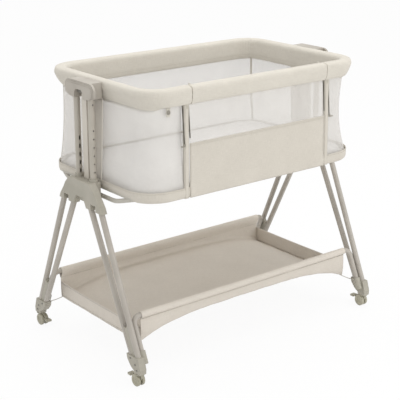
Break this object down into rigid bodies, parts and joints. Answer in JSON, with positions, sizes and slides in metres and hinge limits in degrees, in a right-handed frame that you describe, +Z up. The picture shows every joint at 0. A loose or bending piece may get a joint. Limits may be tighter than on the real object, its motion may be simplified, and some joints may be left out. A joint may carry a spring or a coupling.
{
  "type": "bedside sleeper crib",
  "caption": "Bedside sleeper crib: mesh-walled basket with a drop side, raised on posts between two end frames on casters, over a cloth storage tray.",
  "frame": {"origin": "centre of the bounding box, on the floor the casters stand on", "axes": "+X along the crib's length, -Y towards the drop side, +Z up"},
  "size_m": [0.865, 0.532, 0.7748],
  "materials": {
    "frame_paint": "semi-gloss",
    "post_paint": "semi-gloss",
    "frame_plastic": "fine grain",
    "tube_paint": "satin",
    "rim_cloth": "woven linen look",
    "mesh_cloth": "fine mesh",
    "panel_cloth": "woven",
    "tray_cloth": "woven",
    "elastic": "braided",
    "mattress_cloth": "knit",
    "board": "plain",
    "wheel_plastic": "plain",
    "caster_plastic": "plain",
    "trim_plastic": "plain",
    "slide_steel": "dark",
    "screw_steel": "plain"
  },
  "bodies": {
    "base": {"hub_left": "frame_plastic", "hub_right": "frame_plastic", "legs_rear_right": "frame_paint", "legs_front_right": "frame_paint", "legs_rear_left": "frame_paint", "legs_front_left": "frame_paint", "post_rear_right": "post_paint", "post_front_right": "post_paint", "post_rear_left": "post_paint", "post_front_left": "post_paint", "boot_rear_right": "frame_plastic", "boot_front_right": "frame_plastic", "boot_rear_left": "frame_plastic", "boot_front_left": "frame_plastic", "storage_rail_front": "frame_paint", "storage_rail_rear": "frame_paint", "tray_floor": "tray_cloth", "tray_sides": "tray_cloth", "tray_ends": "tray_cloth", "corner_elastics": "elastic", "frame_screws": "screw_steel"},
    "basket": {"rim_tube": "tube_paint", "rim_pad": "rim_cloth", "rim_housing_left": "frame_plastic", "rim_housing_right": "frame_plastic", "slide_tubes_left": "slide_steel", "slide_tubes_right": "slide_steel", "latch_column_left": "post_paint", "latch_column_right": "post_paint", "lock_pins": "screw_steel", "bottom_ring": "tube_paint", "end_carriers": "tube_paint", "front_struts": "tube_paint", "rim_connectors": "trim_plastic", "mesh_wall": "mesh_cloth", "end_strips": "panel_cloth", "bottom_band": "panel_cloth", "lower_front_panel": "panel_cloth", "mattress_board": "board", "mattress": "mattress_cloth", "snap_tab": "panel_cloth"},
    "drop_side": {"gate_tube": "tube_paint", "gate_pad": "rim_cloth", "gate_mesh": "mesh_cloth"},
    "trigger_left": {"release_trigger_left": "trim_plastic"},
    "button_left": {"gate_button_left": "trim_plastic"},
    "trigger_right": {"release_trigger_right": "trim_plastic"},
    "button_right": {"gate_button_right": "trim_plastic"},
    "swivel_rear_right": {"caster_fork_rear_right": "caster_plastic"},
    "wheels_rear_right": {"caster_wheels_rear_right": "wheel_plastic"},
    "pedal_rear_right": {"brake_pedal_rear_right": "caster_plastic"},
    "swivel_front_right": {"caster_fork_front_right": "caster_plastic"},
    "wheels_front_right": {"caster_wheels_front_right": "wheel_plastic"},
    "pedal_front_right": {"brake_pedal_front_right": "caster_plastic"},
    "swivel_rear_left": {"caster_fork_rear_left": "caster_plastic"},
    "wheels_rear_left": {"caster_wheels_rear_left": "wheel_plastic"},
    "pedal_rear_left": {"brake_pedal_rear_left": "caster_plastic"},
    "swivel_front_left": {"caster_fork_front_left": "caster_plastic"},
    "wheels_front_left": {"caster_wheels_front_left": "wheel_plastic"},
    "pedal_front_left": {"brake_pedal_front_left": "caster_plastic"}
  },
  "joints": [
    {"name": "basket_lift", "type": "slide", "parent": "base", "child": "basket", "axis": [0, 0, 1], "range_m": [0, 0.1125]},
    {"name": "drop_side_fold", "type": "hinge", "parent": "basket", "child": "drop_side", "pos_m": [0, -0.2357, 0.624], "axis": [1, 0, 0], "range_deg": [0, 165]},
    {"name": "trigger_left_pull", "type": "slide", "parent": "basket", "child": "trigger_left", "axis": [0, 0, 1], "range_m": [0, 0.006], "stiffness_N_per_m": 300},
    {"name": "button_left_press", "type": "slide", "parent": "drop_side", "child": "button_left", "axis": [0, 0, -1], "range_m": [0, 0.002], "stiffness_N_per_m": 400},
    {"name": "trigger_right_pull", "type": "slide", "parent": "basket", "child": "trigger_right", "axis": [0, 0, 1], "range_m": [0, 0.006], "stiffness_N_per_m": 300},
    {"name": "button_right_press", "type": "slide", "parent": "drop_side", "child": "button_right", "axis": [0, 0, -1], "range_m": [0, 0.002], "stiffness_N_per_m": 400},
    {"name": "swivel_rear_right_turn", "type": "hinge", "parent": "base", "child": "swivel_rear_right", "pos_m": [0.42, 0.252, 0.036], "axis": [0, 0, 1], "continuous": true},
    {"name": "wheels_rear_right_roll", "type": "hinge", "parent": "swivel_rear_right", "child": "wheels_rear_right", "pos_m": [0.42, 0.244, 0.017], "axis": [1, 0, 0], "continuous": true},
    {"name": "pedal_rear_right_press", "type": "hinge", "parent": "swivel_rear_right", "child": "pedal_rear_right", "pos_m": [0.42, 0.223, 0.024], "axis": [1, 0, 0], "range_deg": [0, 20]},
    {"name": "swivel_front_right_turn", "type": "hinge", "parent": "base", "child": "swivel_front_right", "pos_m": [0.42, -0.252, 0.036], "axis": [0, 0, 1], "continuous": true},
    {"name": "wheels_front_right_roll", "type": "hinge", "parent": "swivel_front_right", "child": "wheels_front_right", "pos_m": [0.42, -0.244, 0.017], "axis": [1, 0, 0], "continuous": true},
    {"name": "pedal_front_right_press", "type": "hinge", "parent": "swivel_front_right", "child": "pedal_front_right", "pos_m": [0.42, -0.223, 0.024], "axis": [-1, 0, 0], "range_deg": [0, 20]},
    {"name": "swivel_rear_left_turn", "type": "hinge", "parent": "base", "child": "swivel_rear_left", "pos_m": [-0.42, 0.252, 0.036], "axis": [0, 0, 1], "continuous": true},
    {"name": "wheels_rear_left_roll", "type": "hinge", "parent": "swivel_rear_left", "child": "wheels_rear_left", "pos_m": [-0.42, 0.244, 0.017], "axis": [1, 0, 0], "continuous": true},
    {"name": "pedal_rear_left_press", "type": "hinge", "parent": "swivel_rear_left", "child": "pedal_rear_left", "pos_m": [-0.42, 0.223, 0.024], "axis": [1, 0, 0], "range_deg": [0, 20]},
    {"name": "swivel_front_left_turn", "type": "hinge", "parent": "base", "child": "swivel_front_left", "pos_m": [-0.42, -0.252, 0.036], "axis": [0, 0, 1], "continuous": true},
    {"name": "wheels_front_left_roll", "type": "hinge", "parent": "swivel_front_left", "child": "wheels_front_left", "pos_m": [-0.42, -0.244, 0.017], "axis": [1, 0, 0], "continuous": true},
    {"name": "pedal_front_left_press", "type": "hinge", "parent": "swivel_front_left", "child": "pedal_front_left", "pos_m": [-0.42, -0.223, 0.024], "axis": [-1, 0, 0], "range_deg": [0, 20]}
  ]
}
